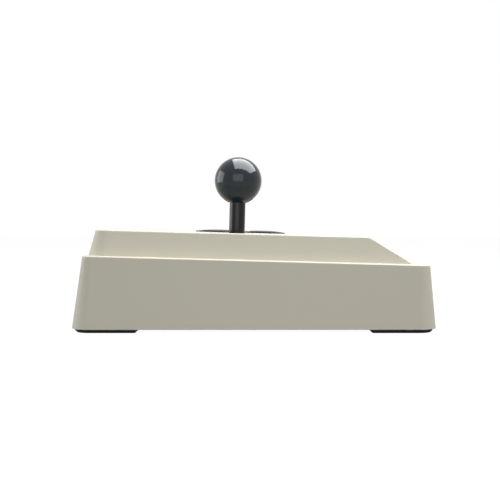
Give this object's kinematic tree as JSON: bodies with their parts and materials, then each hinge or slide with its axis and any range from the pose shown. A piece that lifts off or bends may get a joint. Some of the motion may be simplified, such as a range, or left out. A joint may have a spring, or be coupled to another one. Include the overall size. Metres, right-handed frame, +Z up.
{
  "type": "arcade fight stick",
  "caption": "Arcade fight stick: stepped moulded case with a sloping deck, a ball-top lever in a square gate and rows of round snap-in push buttons.",
  "frame": {"origin": "middle of the footprint, on the surface that the feet stand on", "axes": "+X to the player's right, along the long side; +Y to the back, away from the player; +Z up"},
  "size_m": [0.3406, 0.241, 0.1211],
  "materials": {
    "case_plastic": "fine satin texture, warm beige",
    "foot_rubber": "matt black",
    "plate_black": "powder-coated black sheet",
    "steel": "zinc-plated",
    "ball_plastic": "polished, very dark slate",
    "cover_plastic": "glossy black",
    "button_plastic": "glossy black",
    "inner_black": "moulded black",
    "nylon": "natural white nylon",
    "board": "green solder mask",
    "socket_metal": "bright stamped shell",
    "wiring": "black insulation"
  },
  "bodies": {
    "case": {"top_housing": "case_plastic", "foot_front_left": "foot_rubber", "foot_front_right": "foot_rubber", "foot_back_left": "foot_rubber", "foot_back_right": "foot_rubber", "base_plate": "plate_black", "case_screws": "steel", "mount_plate": "steel", "plate_screws": "steel", "lever_base_screws": "steel", "spring_seat": "steel", "board_screws": "steel", "lever_base": "inner_black", "restrictor_gate": "inner_black", "lever_switches": "inner_black", "tact_switches": "inner_black", "board_parts": "inner_black", "lever_connector": "nylon", "lever_board": "board", "function_board": "board", "main_board": "board", "usb_socket": "socket_metal", "lever_harness": "wiring", "button_harness": "wiring", "button_body_1": "button_plastic", "button_switch_1": "inner_black", "button_body_2": "button_plastic", "button_switch_2": "inner_black", "button_body_3": "button_plastic", "button_switch_3": "inner_black", "button_body_4": "button_plastic", "button_switch_4": "inner_black", "button_body_5": "button_plastic", "button_switch_5": "inner_black", "button_body_6": "button_plastic", "button_switch_6": "inner_black", "button_body_7": "button_plastic", "button_switch_7": "inner_black", "button_body_8": "button_plastic", "button_switch_8": "inner_black"},
    "return_spring": {"return_spring": "steel"},
    "lever": {"ball_top": "ball_plastic", "lever_shaft": "steel", "shaft_cover": "cover_plastic", "dust_washer": "inner_black", "pivot": "nylon", "actuator": "nylon", "e_clip": "steel"},
    "button_1": {"button_cap_1": "button_plastic"},
    "button_2": {"button_cap_2": "button_plastic"},
    "button_3": {"button_cap_3": "button_plastic"},
    "button_4": {"button_cap_4": "button_plastic"},
    "button_5": {"button_cap_5": "button_plastic"},
    "button_6": {"button_cap_6": "button_plastic"},
    "button_7": {"button_cap_7": "button_plastic"},
    "button_8": {"button_cap_8": "button_plastic"},
    "function_1": {"function_cap_1": "button_plastic"},
    "function_2": {"function_cap_2": "button_plastic"},
    "function_3": {"function_cap_3": "button_plastic"},
    "function_4": {"function_cap_4": "button_plastic"}
  },
  "joints": [
    {"name": "lever_front_back", "type": "hinge", "parent": "case", "child": "return_spring", "pos_m": [-0.085, 0.01283, 0.04576], "axis": [1, 0, 0], "range_deg": [-8.5, 8.5], "stiffness_Nm_per_rad": 0.67, "deforming": ["return_spring"]},
    {"name": "lever_left_right", "type": "hinge", "parent": "return_spring", "child": "lever", "pos_m": [-0.085, 0.01283, 0.04576], "axis": [0, 0.9996, 0.027], "range_deg": [-8.5, 8.5], "stiffness_Nm_per_rad": 0.67, "deforming": ["return_spring"]},
    {"name": "button_1_press", "type": "slide", "parent": "case", "child": "button_1", "axis": [0, 0.027, -0.9996], "range_m": [0, 0.0035], "stiffness_N_per_m": 100, "springref_m": -0.004},
    {"name": "button_2_press", "type": "slide", "parent": "case", "child": "button_2", "axis": [0, 0.027, -0.9996], "range_m": [0, 0.0035], "stiffness_N_per_m": 100, "springref_m": -0.004},
    {"name": "button_3_press", "type": "slide", "parent": "case", "child": "button_3", "axis": [0, 0.027, -0.9996], "range_m": [0, 0.0035], "stiffness_N_per_m": 100, "springref_m": -0.004},
    {"name": "button_4_press", "type": "slide", "parent": "case", "child": "button_4", "axis": [0, 0.027, -0.9996], "range_m": [0, 0.0035], "stiffness_N_per_m": 100, "springref_m": -0.004},
    {"name": "button_5_press", "type": "slide", "parent": "case", "child": "button_5", "axis": [0, 0.027, -0.9996], "range_m": [0, 0.0035], "stiffness_N_per_m": 100, "springref_m": -0.004},
    {"name": "button_6_press", "type": "slide", "parent": "case", "child": "button_6", "axis": [0, 0.027, -0.9996], "range_m": [0, 0.0035], "stiffness_N_per_m": 100, "springref_m": -0.004},
    {"name": "button_7_press", "type": "slide", "parent": "case", "child": "button_7", "axis": [0, 0.027, -0.9996], "range_m": [0, 0.0035], "stiffness_N_per_m": 100, "springref_m": -0.004},
    {"name": "button_8_press", "type": "slide", "parent": "case", "child": "button_8", "axis": [0, 0.027, -0.9996], "range_m": [0, 0.0035], "stiffness_N_per_m": 100, "springref_m": -0.004},
    {"name": "function_1_press", "type": "slide", "parent": "case", "child": "function_1", "axis": [0, 0.027, -0.9996], "range_m": [0, 0.0005], "stiffness_N_per_m": 500, "springref_m": -0.001},
    {"name": "function_2_press", "type": "slide", "parent": "case", "child": "function_2", "axis": [0, 0.027, -0.9996], "range_m": [0, 0.0005], "stiffness_N_per_m": 500, "springref_m": -0.001},
    {"name": "function_3_press", "type": "slide", "parent": "case", "child": "function_3", "axis": [0, 0.027, -0.9996], "range_m": [0, 0.0005], "stiffness_N_per_m": 500, "springref_m": -0.001},
    {"name": "function_4_press", "type": "slide", "parent": "case", "child": "function_4", "axis": [0, 0.027, -0.9996], "range_m": [0, 0.0005], "stiffness_N_per_m": 500, "springref_m": -0.001}
  ]
}
